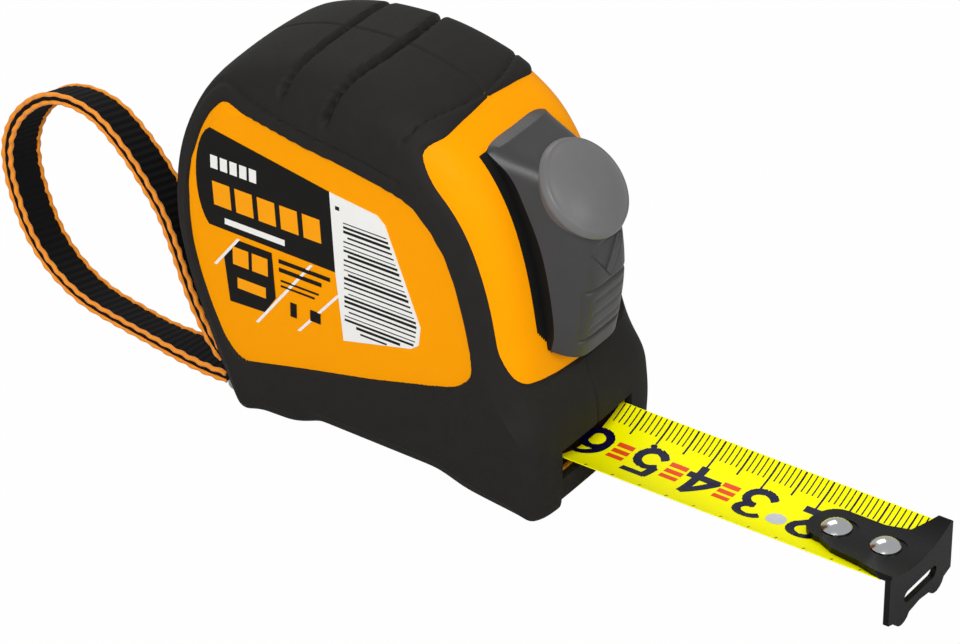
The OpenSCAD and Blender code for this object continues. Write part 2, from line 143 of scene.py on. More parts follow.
def grain(tree, shader, size_mm, height_mm, base=None, other=None, rough=None, detail=3.0):
    """Noise of one size drives the bump, and if asked the colour and the roughness."""
    place = node(tree, "ShaderNodeTexCoord")
    noise = node(tree, "ShaderNodeTexNoise", {"Scale": 1 / (size_mm * MM), "Detail": detail},
                 {"Vector": (place, "Object")})
    bump = node(tree, "ShaderNodeBump", {"Strength": 1.0, "Distance": height_mm * MM},
                {"Height": (noise, "Fac")})
    tree.links.new(bump.outputs["Normal"], shader.inputs["Normal"])
    if other:
        wide = node(tree, "ShaderNodeTexNoise", {"Scale": 1 / (9 * size_mm * MM), "Detail": 4.0},
                    {"Vector": (place, "Object")})
        mix = node(tree, "ShaderNodeMix", {"data_type": "RGBA"}, {0: (wide, "Fac")})
        mix.inputs[6].default_value = linear(base)
        mix.inputs[7].default_value = linear(other)
        tree.links.new(mix.outputs[2], shader.inputs["Base Color"])
    if rough:
        spread = node(tree, "ShaderNodeMapRange", {"To Min": rough[0], "To Max": rough[1]},
                      {"Value": (noise, "Fac")})
        tree.links.new(spread.outputs["Result"], shader.inputs["Roughness"])
    return noise


# %% [markdown]
# ## Surfaces as arrays
# A shape here is a grid of points: rows run round the piece, columns run across it. One function
# turns the grid to a mesh, closing it where asked.


# %% Mesh helpers
def make(name, points, faces, finish, smooth=True, body=None, slot=None, replaces=()):
    """Mesh from points in millimetres and a face list, finished and placed on its body."""
    mesh = bpy.data.meshes.new(name)
    mesh.from_pydata((np.asarray(points, float).reshape(-1, 3) * MM).tolist(), [], faces)
    mesh.validate()
    made = bpy.data.objects.new(name, mesh)
    bpy.context.collection.objects.link(made)
    for one in finish if isinstance(finish, (list, tuple)) else [finish]:
        mesh.materials.append(one)
    mesh.polygons.foreach_set("use_smooth", [smooth] * len(mesh.polygons))
    if body:
        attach(made, body)
    if replaces:
        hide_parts(*replaces)
    return made


def quads(rows, cols, wrap_rows=False, wrap_cols=False):
    """Quad indices of a grid of rows by cols points, wrapped round where asked."""
    r = np.arange(rows if wrap_rows else rows - 1)[:, None]
    c = np.arange(cols if wrap_cols else cols - 1)[None, :]
    r2, c2 = (r + 1) % rows, (c + 1) % cols
    return np.stack([r * cols + c, r2 * cols + c, r2 * cols + c2, r * cols + c2], -1).reshape(-1, 4)


def tube(name, rings, finish, **more):
    """Closed tube from rings of points (n rings, m points, 3), with a fan-free cap at each end."""
    n, m = rings.shape[:2]
    faces = quads(n, m, wrap_cols=True).tolist()
    faces.append(list(range(m)))
    faces.append([(n - 1) * m + j for j in range(m)][::-1])
    return tidy(make(name, rings, faces, finish, **more))


def tidy(piece):
    """Merges doubles and points all faces outwards."""
    shape = bmesh.new()
    shape.from_mesh(piece.data)
    bmesh.ops.remove_doubles(shape, verts=shape.verts, dist=1e-7)
    bmesh.ops.recalc_face_normals(shape, faces=shape.faces)
    shape.to_mesh(piece.data)
    shape.free()
    return piece


def bevel(piece, width_mm, segments=2, angle=35):
    """Rounds the piece's sharp edges, with weighted normals so that flats stay flat."""
    step = piece.modifiers.new("edge", "BEVEL")
    step.width = width_mm * MM
    step.segments = segments
    step.limit_method = "ANGLE"
    step.angle_limit = radians(angle)
    step.harden_normals = False
    keep = piece.modifiers.new("flats", "WEIGHTED_NORMAL")
    keep.keep_sharp = True
    return piece


def cut(piece, *tools):
    """Boolean difference with each tool, applied, and the tools removed."""
    for tool in tools:
        step = piece.modifiers.new("cut", "BOOLEAN")
        step.operation = "DIFFERENCE"
        step.solver = "MANIFOLD"
        step.object = tool
    done = piece.evaluated_get(bpy.context.evaluated_depsgraph_get())
    mesh = bpy.data.meshes.new_from_object(done)
    piece.modifiers.clear()
    piece.data = mesh
    mesh.set_sharp_from_angle(angle=radians(38))
    return piece


def rounded(points, cuts, per_corner=8):
    """Closed outline with each corner replaced by a parabola that starts `cut` before the corner."""
    points = np.array(points, float)
    before, after = np.roll(points, 1, 0), np.roll(points, -1, 0)
    to_before, to_after = before - points, after - points
    len_b = np.linalg.norm(to_before, axis=1)
    len_a = np.linalg.norm(to_after, axis=1)
    cuts = np.broadcast_to(np.array(cuts, float), len(points))
    start = points + to_before * (np.minimum(cuts, len_b / 2) / len_b)[:, None]
    end = points + to_after * (np.minimum(cuts, len_a / 2) / len_a)[:, None]
    t = np.linspace(0, 1, per_corner)[None, :, None]
    arcs = (1 - t) ** 2 * start[:, None] + 2 * t * (1 - t) * points[:, None] + t ** 2 * end[:, None]
    return arcs.reshape(-1, 2)


def resample(points, count, closed=True):
    """The same path with `count` points equally far apart. Returns them and their share of the way."""
    path = np.vstack([points, points[:1]]) if closed else points
    keep = np.append(True, np.linalg.norm(np.diff(path, axis=0), axis=1) > 1e-6)
    path = path[keep]
    way = np.append(0, np.cumsum(np.linalg.norm(np.diff(path, axis=0), axis=1)))
    at = np.linspace(0, way[-1], count, endpoint=not closed)
    return np.stack([np.interp(at, way, path[:, k]) for k in range(path.shape[1])], -1)


def signed_distance(x, y, outline):
    """Distance from each point to a closed outline, negative inside it."""
    a, b = outline, np.roll(outline, -1, 0)
    best = np.full(x.shape, 1e9)
    inside = np.zeros(x.shape, bool)
    for (ax, ay), (bx, by) in zip(a, b):
        dx, dy = bx - ax, by - ay
        t = np.clip(((x - ax) * dx + (y - ay) * dy) / (dx * dx + dy * dy + 1e-12), 0, 1)
        best = np.minimum(best, (x - ax - t * dx) ** 2 + (y - ay - t * dy) ** 2)
        inside ^= ((ay > y) != (by > y)) & (x < dx * (y - ay) / (dy + 1e-12) + ax)
    return np.where(inside, -1, 1) * np.sqrt(best)


def ease(x, low, high):
    """Smooth step: 0 below low, 1 above high, and 3t^2 - 2t^3 between them."""
    t = np.clip((x - low) / (high - low), 0, 1)
    return t * t * (3 - 2 * t)


# %% [markdown]
# ## Finishes
# Each finish is named for what it is and how it was made.

# %% Moulded rubber grip
# Thermoplastic rubber, moulded over the shell in a spark-eroded tool: dull, with a fine even grain.
rubber, tree, shader = material("moulded_rubber", "#242321", 0.62, Specular_IOR_Level=0.12)
grain(tree, shader, 0.32, 0.03, "#262523", "#201F1D", (0.55, 0.72))

# %% Orange shell
# ABS, moulded in a polished tool and pigmented right through: bright, with a soft gloss.
orange_abs, tree, shader = material("moulded_orange_abs", "#FF9A00", 0.5, Specular_IOR_Level=0.04)
grain(tree, shader, 0.5, 0.006, "#FFA300", "#FF9F00", (0.42, 0.54))

# %% Button plastic
button_plastic, tree, shader = material("satin_button_plastic", "#3A3A3B", 0.42,
                                        Specular_IOR_Level=0.4)
grain(tree, shader, 0.3, 0.008, "#3C3C3D", "#363637", (0.3, 0.42))

# The thumb pad is the same plastic, painted paler all over: a painted highlight for the light falling on its
# dome.
highlit_pad_plastic, tree, shader = material("button_plastic_painted_highlight", "#6A6A6B", 0.4, Specular_IOR_Level=0.4)
grain(tree, shader, 0.3, 0.006, "#6C6C6D", "#666667", (0.32, 0.42))

# %% Blade enamel
blade_yellow, tree, shader = material("yellow_blade_enamel", "#FFEE00", 0.4, Specular_IOR_Level=0.05)
grain(tree, shader, 0.8, 0.004, "#FFFF00", "#FFFA00", (0.35, 0.45))
ink, tree, shader = material("navy_blade_ink", "#02022C", 0.4, Specular_IOR_Level=0.2)
grain(tree, shader, 0.4, 0.003, "#02022C", "#06063A")
red_ink, tree, shader = material("red_blade_ink", "#F2551A", 0.4, Specular_IOR_Level=0.2)
grain(tree, shader, 0.4, 0.003, "#F2551A", "#EA3F10")

# %% Metals
black_steel, tree, shader = material("black_oxide_steel", "#060606", 0.45, 0.0, Specular_IOR_Level=0.2)
grain(tree, shader, 0.5, 0.012, "#060606", "#030303", (0.4, 0.5))
nickel, tree, shader = material("polished_nickel", "#D9DADC", 0.14, 1.0)
grain(tree, shader, 0.6, 0.004, "#DCDDDF", "#CFD0D2", (0.1, 0.2))
zinc_steel, tree, shader = material("zinc_plated_steel", "#B9BCC0", 0.32, 1.0)
grain(tree, shader, 0.25, 0.006, "#BDC0C4", "#A9ACB0", (0.26, 0.4))
spring_steel, tree, shader = material("blued_spring_steel", "#6C7178", 0.3, 1.0)
grain(tree, shader, 0.3, 0.005, "#70757C", "#5C6168", (0.25, 0.4))
acetal, tree, shader = material("moulded_acetal", "#E8E3D6", 0.4, Subsurface_Weight=0.05)
grain(tree, shader, 0.6, 0.008, "#EAE5D8", "#E0DACB", (0.34, 0.48))
brake_rubber, tree, shader = material("brake_rubber", "#5B271D", 0.75)
grain(tree, shader, 0.3, 0.03, "#5E291F", "#4D2018", (0.68, 0.82))

# %% Label film
label_white, tree, shader = material("white_label_film", "#F4F4F1", 0.4, Specular_IOR_Level=0.12)
grain(tree, shader, 0.7, 0.004, "#F5F5F2", "#EFEFEB", (0.3, 0.42))
label_black, tree, shader = material("black_label_print", "#121110", 0.4, Specular_IOR_Level=0.12)
grain(tree, shader, 0.7, 0.004, "#141312", "#0E0D0C", (0.3, 0.42))
label_orange, tree, shader = material("orange_label_print", "#F99200", 0.4, Specular_IOR_Level=0.12)
grain(tree, shader, 0.7, 0.004, "#FFA600", "#FFA000", (0.4, 0.5))

# %% Webbing
web_black, tree, shader = material("woven_nylon_black", "#0B0B0C", 0.75, Specular_IOR_Level=0.15)
grain(tree, shader, 0.18, 0.06, "#0D0D0E", "#070708", (0.65, 0.85))
cord_orange, tree, shader = material("woven_nylon_orange", "#F08000", 0.65, Sheen_Weight=0.2)
grain(tree, shader, 0.16, 0.05, "#FF9C08", "#F08A00", (0.55, 0.75))

# %% [markdown]
# ## The case as one outline carried across
# The case is a fat disc with a square nose. Its side outline is a closed curve in x and z. Across the
# width the curve shrinks inwards by `depth * (c * s^2 + (1 - c) * s^8)`, where s is |y| / half width.
# With c = 1 the face is a round crown, as the front is, and with c near 0 it is flat with a quick
# shoulder, as the nose is.

# %% Outline of the case
# x, z, how far back the corner is rounded, depth at the side, share of it that is a round crown
outline_rows = np.array([
    [-17.5, 0.0, 1.5, 4.0, 0.4], [-9.0, 0.0, 2, 4.4, 0.4], [-6.0, 0.0, 2, 6.5, 0.75],
    [19.0, 0.0, 2, 6.2, 0.7], [24.0, 0.0, 2, 4.4, 0.4],
    [NOSE_X, 0.0, 2.5, 2.2, 0.1], [NOSE_X + 0.4, 9.0, 9, 1.6, 0.3],
    [NOSE_X, 17.0, 2.6, 2.4, 0.3], [36.0, 22.8, 4, 4.5, 0.3], [34.8, 31.0, 9, 7.0, 0.3],
    [32.6, 42.5, 9, 7.5, 0.2], [29.2, 52.8, 9, 8.0, 0.15], [23.8, 61.0, 6, 8.5, 0.15],
    [15.6, 66.9, 4, 9.0, 0.3], [4.5, TOP_Z - 0.8, 6, 9.2, 0.3], [-5.5, TOP_Z - 0.9, 6, 9.2, 0.3],
    [-15.5, TOP_Z - 2.8, 6, 8.0, 0.3], [-26.5, 62.0, 9, 5.5, 0.2], [-32.8, 49.5, 9, 4.0, 0.2],
    [-34.2, 36.0, 9, 3.5, 0.2], [-32.0, 24.5, 9, 3.5, 0.2], [-28.6, 15.5, 9, 3.5, 0.2],
    [-24.4, 6.0, 6, 3.0, 0.2], [-20.5, 0.4, 2, 1.6, 0.1],
])
AROUND = 480
ring_points = rounded(outline_rows[:, :2], outline_rows[:, 2])
ring = resample(ring_points, AROUND)
corner_way = np.array([np.argmin(np.hypot(*(ring - p).T)) for p in outline_rows[:, :2]])
order = np.argsort(corner_way)


def around(column):
    """A value given at the outline's corners, spread evenly round the ring and smoothed."""
    way, value = corner_way[order], outline_rows[order, column]
    value = np.interp(np.arange(AROUND), way, value, period=AROUND)
    kernel = np.hanning(17)
    padded = np.concatenate([value[-8:], value, value[:8]])
    return np.convolve(padded, kernel / kernel.sum(), "valid")


depth, crowned = around(3), around(4)
tangent = np.roll(ring, -1, 0) - np.roll(ring, 1, 0)
inward = np.stack([-tangent[:, 1], tangent[:, 0]], -1)
inward /= np.linalg.norm(inward, axis=1)[:, None]
kernel = np.hanning(27) / np.hanning(27).sum()
wrapped = np.concatenate([inward[-13:], inward, inward[:13]])
inward = np.stack([np.convolve(wrapped[:, k], kernel, "valid") for k in range(2)], -1)
inward /= np.linalg.norm(inward, axis=1)[:, None]
print("outline", ring.min(0).round(1), ring.max(0).round(1))

# %% [markdown]
# ## Half a case
# Each half runs from the seam over the rounded shoulder and in across the side to a centre point.


# %% Half surface
CENTRE = np.array([0.0, 33.0])
ACROSS, SIDE = 58, 52


def half_surface(lift=0.0):
    """Points of one half, y positive: (around, across, 3). `lift` moves every wall inwards."""
    width = HALF_W - lift
    t = np.linspace(0, 1, ACROSS)
    y = width * (1 - (1 - t) ** 1.25)
    share = (y / width)[None, :]
    crowned_part = crowned[:, None] * share ** 2 + (1 - crowned[:, None]) * share ** 8
    shrink = lift + depth[:, None] * crowned_part
    crown = ring[:, None] + inward[:, None] * shrink[..., None]
    # the last millimetre and a half turns over to the side
    turn = ease(y, width - 2.0, width)[None, :]
    crown = np.concatenate([crown, np.broadcast_to(y[None, :, None], crown.shape[:2] + (1,))], -1)
    crown += np.concatenate([inward, np.zeros((AROUND, 1))], -1)[:, None] * (0.9 * turn ** 2)[..., None]
    rim = crown[:, -1, :2]
    s = np.linspace(0, 1, SIDE + 1)[1:]
    side = rim[:, None] + (CENTRE - rim)[:, None] * s[None, :, None]
    side = np.concatenate([side, np.full(side.shape[:2] + (1,), width)], -1)
    both = np.concatenate([crown, side], 1)
    return np.stack([both[..., 0], both[..., 2], both[..., 1]], -1)


def grid_normals(grid):
    """Outward unit normals by central differences, with the ring wrapped round."""
    du = np.roll(grid, -1, 0) - np.roll(grid, 1, 0)
    dv = np.gradient(grid, axis=1)
    n = np.cross(du, dv)
    size = np.linalg.norm(n, axis=2, keepdims=True)
    n = np.where(size > 1e-9, n / np.maximum(size, 1e-9), [0, 1, 0])
    return n


base = half_surface()
normals = grid_normals(base)
if (normals[:, -10, 1] < 0).mean() > 0.5:
    normals = -normals
normals[:, -1] = [0, 1, 0]
print("half", base.shape, base.min((0, 1)).round(1), base.max((0, 1)).round(1))

# %% [markdown]
# ## Windows in the grip
# The rubber leaves two windows through which the orange shell shows: one on the side and one round
# the front. A signed distance to each window's outline lowers the rubber smoothly at its edge, which
# gives the soft rim a moulded skin has.

# %% Window outlines
side_window = rounded([
    [-21.7, 59.3], [-24.4, 56.2], [-26.1, 52.9], [-27.7, 47.7], [-28.5, 41.9], [-28.5, 36.3],
    [-27.9, 30.8], [-26.5, 25.6], [-24.7, 20.6], [-22.5, 15.6], [-20.5, 13.0], [-18.4, 11.7],
    [-6.9, 14.5], [6.9, 17.6], [18.5, 20.8], [23.2, 22.2], [26.1, 25.2], [25.7, 29.7], [24.6, 34.8],
    [22.7, 41.5], [20.5, 46.2], [17.7, 49.8], [14.9, 52.4], [12.1, 53.4], [3.6, 55.0], [-5.9, 56.1],
    [-15.5, 57.9],
], 1.6, 4)
# y and z of the front window, right half; the left half mirrors it
front_right = np.array([[0, 65.3], [-9, 64.4], [-15.2, 62.8], [-16.6, 58], [-16.3, 48], [-16.1, 36],
                        [-16.1, 29], [-14.8, 25.0], [-8, 24.2], [0, 23.7]])
front_window = rounded(np.vstack([front_right, (front_right * [-1, 1])[-2:0:-1]]), 2.4, 6)
x, y, z = base[..., 0], base[..., 1], base[..., 2]
on_side = y > HALF_W - 3.2
to_side = np.where(on_side, signed_distance(x, z, side_window), 9.0)
to_front = np.where((x > 10) & (z > 18) & (y < HALF_W - 0.3), signed_distance(y, z, front_window), 9.0)
to_window = np.minimum(to_side, to_front)

GRIP_T = 1.4
RIM = 1.0
ORANGE_STEP = 0.55


# %% Grooves in the grip
def groove(distance, width, deep):
    """A round-bottomed groove: deepest on the line, gone half a width to each side."""
    return deep * (1 - ease(np.abs(distance), 0, width / 2))


bow = 0.0063 * y ** 2
lower = groove(x + 9.0 + bow, 2.2, 1.2) * ease(z, 62.5, 64.5)
lower += groove(x - 1.9 + 2 * bow, 2.2, 1.2) * ease(z, 60.5, 62.5)
lower += groove(x - 17.0 + 3 * bow, 1.0, 0.4) * ease(z, 61.5, 63.0)
lower += groove(y, 0.5, 0.25)
lower += 0.4 * (groove(signed_distance(x, z, side_window) - 2.7, 1.3, 1.0)
                * (z > 50) * (y > 12) * (1 - ease(x, 12, 15)))
lower = np.minimum(lower, 1.2)
grip_outer = base - normals * lower[..., None]
sink = 1 - ease(to_window, -0.55 * RIM, 0.45 * RIM)
grip_outer = grip_outer - normals * (sink * GRIP_T)[..., None]
grip_inner = base - normals * (GRIP_T + 0.02)
keep = to_window > -RIM / 2

# %% Skins from two grids


def skin(name, outer, inner, keep, finish, side, **more):
    """Closed solid between two grids, over the faces whose corners are all kept; side -1 mirrors it."""
    rows, cols = outer.shape[:2]
    faces = quads(rows, cols, wrap_rows=True)
    faces = faces[keep.reshape(-1)[faces].all(1)]
    edges = np.concatenate([faces[:, [i, (i + 1) % 4]] for i in range(4)])
    twin = set(map(tuple, edges[:, ::-1].tolist()))
    rim = np.array([e for e in edges.tolist() if tuple(e) not in twin])
    n = rows * cols
    walls = np.stack([rim[:, 1], rim[:, 0], rim[:, 0] + n, rim[:, 1] + n], -1)
    every = np.concatenate([faces, faces[:, ::-1] + n, walls])
    points = np.concatenate([outer.reshape(-1, 3), inner.reshape(-1, 3)]) * [1, side, 1]
    used, where = np.unique(every, return_inverse=True)
    solid = tidy(make(name, points[used], where.reshape(every.shape).tolist(), finish, **more))
    solid.data.set_sharp_from_angle(angle=radians(38))
    return solid


all_kept = np.ones(base.shape[:2], bool)
orange_depth = np.where(to_window < 1.6, ORANGE_STEP, GRIP_T)
shell_outer = base - normals * orange_depth[..., None]
shell_inner = half_surface(GRIP_T + 1.8)
sides = {}
for side, word in ((-1, "right"), (1, "left")):
    sides[word + "_grip"] = skin(word + "_grip_skin", grip_outer, grip_inner, keep, rubber, side,
                                 body="case", slot="grip_rubber", replaces=(word + "_grip",))
    sides[word + "_shell"] = skin(word + "_shell_abs", shell_outer, shell_inner, all_kept, orange_abs,
                                  side, body="case", slot="orange_abs", replaces=(word + "_shell",))
for piece in sides.values():
    print(piece.name, len(piece.data.polygons))

# %% [markdown]
# ## Strap
# Black ribbed webbing with an orange scalloped cord along each corner of its edges.


# %% Woven strap
def smooth_path(points, count):
    """Catmull-Rom curve through the points, resampled to equal steps."""
    p = np.vstack([2 * points[0] - points[1], points, 2 * points[-1] - points[-2]])
    t = np.linspace(0, 1, 9)[:-1, None]
    parts = [0.5 * (2 * b + (c - a) * t + (2 * a - 5 * b + 4 * c - d) * t ** 2
                    + (3 * b - a - 3 * c + d) * t ** 3) for a, b, c, d in zip(p, p[1:], p[2:], p[3:])]
    return resample(np.vstack(parts + [points[-1:]]), count, closed=False)


STEPS = 700
line = smooth_path(strap_route, STEPS)
along = np.gradient(line, axis=0)
along /= np.linalg.norm(along, axis=1)[:, None]
up = np.stack([-along[:, 1], along[:, 0]], -1)
way = np.append(0, np.cumsum(np.linalg.norm(np.diff(line, axis=0), axis=1)))
print("strap length", way[-1].round(1), "mm")


def swept(offsets):
    """Rings along the strap from offsets (steps, m, 2): across the width, and off the middle line."""
    flat = line[:, None] + up[:, None] * offsets[..., 1:2]
    lean = (0.25 * ease(way, 3, 20) * ease(way[-1] - way, 3, 20))[:, None]
    return np.stack([flat[..., 0], STRAP_Y + offsets[..., 0] * np.sqrt(1 - lean ** 2),
                     flat[..., 1] - offsets[..., 0] * lean], -1)


u = np.linspace(0, 2 * pi, 40, endpoint=False)
half = np.stack([np.sign(np.cos(u)) * np.abs(np.cos(u)) ** 0.35 * (STRAP_W / 2 - 0.15),
                 np.sign(np.sin(u)) * np.abs(np.sin(u)) ** 0.5 * (STRAP_T / 2 - 0.15)], -1)
rib = 1 + 0.10 * np.sin(2 * pi * way / 1.3)[:, None, None] * (np.abs(np.sin(u)) > 0.5)[None, :, None]
strap = tube("wrist_strap_webbing", swept(half[None] * np.where([False, True], rib, 1)), web_black,
             body="case", slot="webbing", replaces=("wrist_strap",))
w = np.linspace(0, 2 * pi, 9)[:-1]
CORD_INSET = 0.8
inside = (way > CORD_INSET) & (way < way[-1] - CORD_INSET)
for side_word, across in (("near", -1), ("far", 1)):
    for level_word, level in (("outer", -1), ("inner", 1)):
        wave = 0.16 * np.sin(2 * pi * way / 2.6 + level)[:, None]
        ring2 = np.stack([across * (STRAP_W / 2 - 0.32 + wave) + 0.42 * np.cos(w)[None],
                          level * (STRAP_T / 2 - 0.30) + 0.42 * np.sin(w)[None] + 0 * wave], -1)
        tube("strap_edge_cord_" + side_word + "_" + level_word, swept(ring2)[inside], cord_orange,
             body="case", slot="webbing")

# %% [markdown]
# ## Openings
# The mouth, the channel under it and the strap's notch are cut through the finished skins.


# %% Cutting blocks
def block(low, high):
    """A plain box mesh between two corners, in millimetres, used as a cutter."""
    corners = np.array([[(low, high)[i][0], (low, high)[j][1], (low, high)[k][2]]
                        for i in (0, 1) for j in (0, 1) for k in (0, 1)])
    faces = [(0, 1, 3, 2), (4, 6, 7, 5), (0, 4, 5, 1), (2, 3, 7, 6), (0, 2, 6, 4), (1, 5, 7, 3)]
    return tidy(make("cutter", corners, faces, rubber, smooth=False))


mouth = block((28.5, -10, 6.65), (60, 10, 12.0))
channel = block((26.5, -10, -1), (60, 10, 2.8))
notch = block((-60, -13.4, -1), (-20.6, -4.6, 9.2))
for key, piece in sides.items():
    cut(piece, mouth, channel, *([notch] if key.startswith("right") else []))
    print(key, "after cuts", len(piece.data.polygons))
for tool in (mouth, channel, notch):
    bpy.data.objects.remove(tool)

# %% [markdown]
# ## Button
# A domed thumb pad on a tall crowned button. The rows give its edge and its middle line from foot to
# top. The surface between them falls away as |y / half width|^4.8.

# %% Lock button
# Black painted shade: it stands for the shadow in the recess round the button and on the button's side walls.
button_track, tree, shader = material("black_button_track", "#0C0C0C", 0.6, Specular_IOR_Level=0.2)
grain(tree, shader, 0.4, 0.01, "#0C0C0C", "#080808", (0.55, 0.7))
edge_xz = np.array([[34.9, 28.4], [35.4, 31.3], [35.1, 35.4], [34.0, 41.7], [32.5, 47], [30.0, 52.5],
                    [27.2, 57.4], [22.9, 60.4]])
mid_xz = np.array([[38.8, 26.9], [39.6, 31.3], [40.4, 37], [40.5, 42], [39.8, 48], [38.6, 52.5],
                   [35.6, 57.6], [24.2, 61.2]])
ROWS, COLS, BUTTON_HALF = 150, 90, 8.0
edge_line = smooth_path(edge_xz, ROWS)
mid_line = smooth_path(mid_xz, ROWS)
yy = BUTTON_HALF * np.sin(np.linspace(-pi / 2, pi / 2, COLS))
fall = (np.abs(yy / BUTTON_HALF) ** 4.8)[None, :, None]
front = mid_line[:, None] * (1 - fall) + edge_line[:, None] * fall
face = np.stack([front[..., 0], np.broadcast_to(yy, front.shape[:2]), front[..., 1]], -1)
du, dv = np.gradient(face, axis=0), np.gradient(face, axis=1)
out = np.cross(dv, du)
out /= np.linalg.norm(out, axis=2, keepdims=True)
out *= np.sign(out[ROWS // 2, COLS // 2, 0])
fz, fy = face[..., 2], face[..., 1]
arrow = signed_distance(fy, fz, np.array([[-4.2, 46.0], [0, 40.6], [4.2, 46.0], [2.2, 46.6], [-2.2, 46.6]]))
plate_edge = signed_distance(fy, fz, np.array([[-5.6, 30.2], [5.6, 30.2], [5.6, 39.4], [-5.6, 39.4]]))
relief = -0.8 * (1 - ease(arrow, -0.4, 0.4)) - 0.45 * np.exp(-(plate_edge / 0.28) ** 2)
for bar in range(3):
    level = 32.2 + 2.6 * bar
    strip = signed_distance(fy, fz, np.array([[-4, level - 0.35], [4, level - 0.35], [4, level + 0.35],
                                              [-4, level + 0.35]]))
    relief -= 0.15 * (1 - ease(strip, -0.15, 0.15))
relief *= 1 - ease(np.abs(face[..., 1]), BUTTON_HALF - 1.1, BUTTON_HALF - 0.1)
face = face + np.array([0.93, 0.0, 0.37]) * relief[..., None]
rear = np.stack([np.minimum(face[..., 0] - 1.5, 38 - 0.40 * np.maximum(face[..., 2] - 30, 0) - 4.5),
                 face[..., 1] * 0.985, face[..., 2]], -1)
n_face = ROWS * COLS
cells = quads(ROWS, COLS)
edges = np.concatenate([cells[:, [i, (i + 1) % 4]] for i in range(4)])
twin = set(map(tuple, edges[:, ::-1].tolist()))
rim = np.array([e for e in edges.tolist() if tuple(e) not in twin])
walls = np.stack([rim[:, 1], rim[:, 0], rim[:, 0] + n_face, rim[:, 1] + n_face], -1)
button = tidy(make("lock_button_shell", np.concatenate([face.reshape(-1, 3), rear.reshape(-1, 3)]),
                   np.concatenate([cells, cells[:, ::-1] + n_face, walls]).tolist(), button_plastic,
                   body="lock", slot="button_plastic", replaces=("lock_button",)))
button.data.materials.append(button_track)
# the faces of the front come first; the side walls and the back take the black painted shade, which stands
# for the shadow along the walls
for flat in button.data.polygons:
    flat.material_index = int(flat.index >= len(cells) and abs(flat.normal.y) > 0.5)
bevel(button, 0.5, 3, 60)

# The thumb pad is a dome with a fine bead round its rim, on a foot that runs into the button.
PAD_R, PAD_RISE, PAD_FOOT, PAD_STEPS = 8.4, 3.3, 5.0, 40
PAD_CENTRE = np.array([35.5, 0.0, 54.5])
pad_axis, pad_up = np.array([0.714, 0.0, 0.7]), np.array([-0.7, 0.0, 0.714])
dome_r = np.linspace(0.02, PAD_R, PAD_STEPS)
pad_bead = 0.3 * np.exp(-((dome_r - PAD_R + 0.3) / 0.26) ** 2)
dome_h = PAD_RISE * (1 - (dome_r / PAD_R) ** 2) ** 0.7 + pad_bead
pad_r = np.concatenate([dome_r, [PAD_R + 0.15, PAD_R + 0.1, PAD_R - 2.6]])
pad_h = np.concatenate([dome_h, [-0.15, -0.45, -PAD_FOOT]])
turn = np.linspace(0, 2 * pi, 96, endpoint=False)
pad_rings = (PAD_CENTRE + pad_h[:, None, None] * pad_axis
             + pad_r[:, None, None] * (np.cos(turn)[None, :, None] * np.array([0.0, 1.0, 0.0])
                                       + np.sin(turn)[None, :, None] * pad_up))
thumb_pad = tube("lock_button_thumb_pad", pad_rings, highlit_pad_plastic, body="lock", slot="button_plastic")
thumb_pad.data.set_sharp_from_angle(angle=radians(50))

# %% Dark track round the button, in black painted shade for the recess
in_track = (x > 12) & (z > 27.5) & (z < 61.0) & (y < 9.9 - 2.4 * (1 - ease(z, 27.5, 33)))
track_outer = base - normals * 0.42
track_inner = base - normals * 0.9
for side, word in ((-1, "right"), (1, "left")):
    near = in_track if side < 0 else in_track & (y < 8.4) & (z < 59)
    skin(word + "_button_track", track_outer, track_inner, near, button_track, side, body="case",
         slot="button_plastic")

# %% [markdown]
# ## Blade and its print
# The enamelled strip is an arc across. Everything printed lies a few hundredths of a millimetre above
# it, mapped from flat x and y to the arc.

# %% Blade strip
CHORD, SAG, BLADE_T = blade_high[1] - blade_low[1], 2.2, 0.2
ARC_R = (CHORD ** 2 / 4 + SAG ** 2) / (2 * SAG)


def blade_top(yb, lift=0.0):
    """Height of the blade's upper surface at y."""
    return BLADE_Z - SAG + ARC_R - np.sqrt(ARC_R ** 2 - np.minimum(np.abs(yb), CHORD / 2) ** 2) + lift


yb = np.linspace(-CHORD / 2, CHORD / 2, 33)
section = np.concatenate([np.stack([yb, blade_top(yb)], -1),
                          np.stack([yb, blade_top(yb) - BLADE_T], -1)[::-1]])
xs = np.linspace(blade_low[0], blade_high[0], 40)
rings = np.concatenate([np.broadcast_to(xs[:, None, None], (40, 66, 1)),
                        np.broadcast_to(section[None], (40, 66, 2))], -1)
blade = tube("blade_enamelled_strip", rings, blade_yellow, body="blade", slot="blade_enamel",
             replaces=("blade",))
bevel(blade, 0.05, 1, 60)


def printed(name, shapes, finish, lift):
    """One mesh of flat shapes laid on the blade: each is a closed outline in x and y, filled as a fan
    of thin strips, so that it follows the arc."""
    points, faces = [], []
    for shape in shapes:
        low_y, high_y = shape[:, 1].min(), shape[:, 1].max()
        slices = max(2, int((high_y - low_y) / 0.35) + 1)
        levels = np.linspace(low_y + 1e-4, high_y - 1e-4, slices)
        a, b = shape, np.roll(shape, -1, 0)
        spans = []
        for level in levels:
            cross = (a[:, 1] > level) != (b[:, 1] > level)
            share = (level - a[cross, 1]) / (b[cross, 1] - a[cross, 1])
            hit = a[cross, 0] + share * (b[cross, 0] - a[cross, 0])
            spans.append((hit.min(), hit.max()))
        start = len(points)
        for (x0, x1), level in zip(spans, levels):
            points += [[x0, level, blade_top(level, lift)], [x1, level, blade_top(level, lift)]]
        for i in range(slices - 1):
            k = start + 2 * i
            faces.append([k, k + 1, k + 3, k + 2])
    return make(name, points, faces, finish, body="blade", slot="blade_enamel")


def bar(x0, x1, y0, y1):
    """Corners of a rectangle in x and y."""
    return np.array([[x0, y0], [x1, y0], [x1, y1], [x0, y1]])


